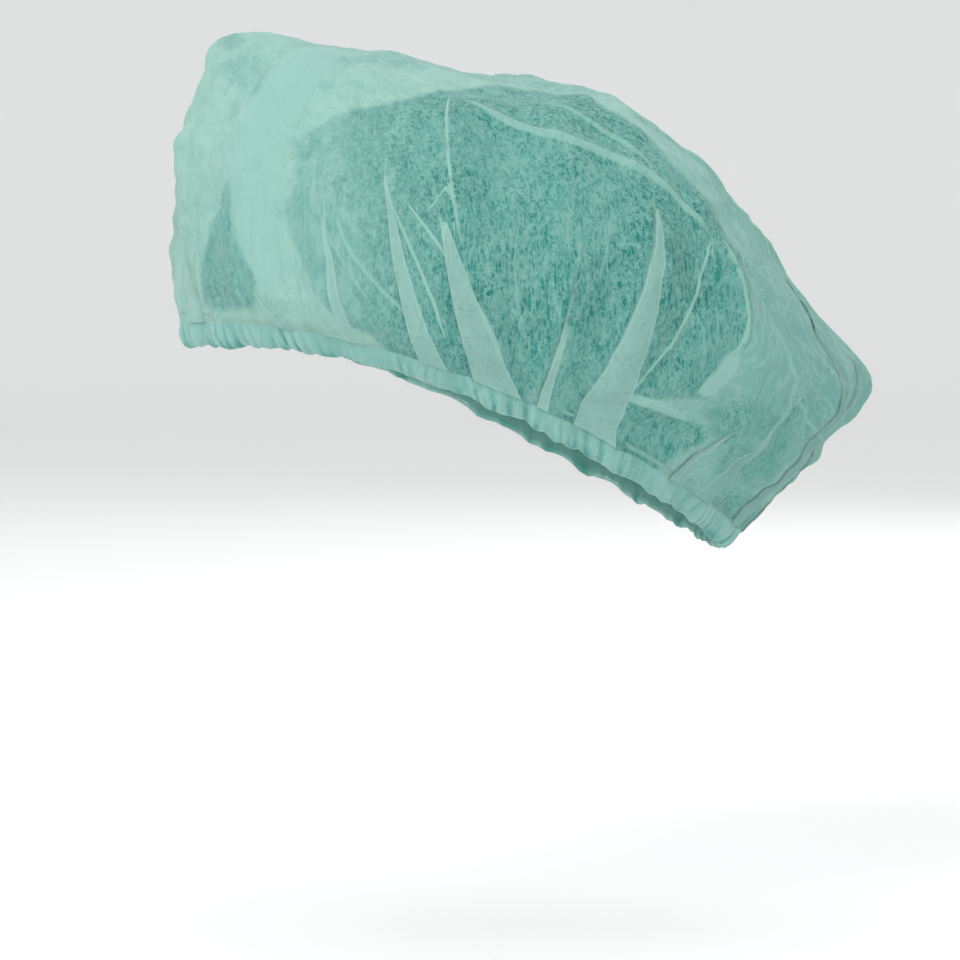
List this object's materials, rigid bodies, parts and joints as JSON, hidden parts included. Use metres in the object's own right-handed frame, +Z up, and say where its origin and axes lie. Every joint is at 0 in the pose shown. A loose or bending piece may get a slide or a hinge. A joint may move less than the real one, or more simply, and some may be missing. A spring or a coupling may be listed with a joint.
{
  "type": "disposable hair cover cap",
  "caption": "Bouffant hair cover of thin nonwoven cloth, shown in its worn form: a loose pleated bag gathered at the rim by an elastic loop in a narrow turned-up casing.",
  "frame": {"origin": "middle of the rim's opening, where the head goes in", "axes": "+Z up as worn, front towards -Y, left side towards +X"},
  "size_m": [0.1904, 0.2578, 0.1861],
  "materials": {
    "cloth": "thin spunbond nonwoven, matt, slightly see-through",
    "hem_cloth": "two layers of the same nonwoven, crinkled",
    "elastic": "flat braided elastic, matt"
  },
  "bodies": {
    "root": {"crown": "cloth", "hem_casing": "hem_cloth", "elastic_band": "elastic"}
  },
  "joints": []
}
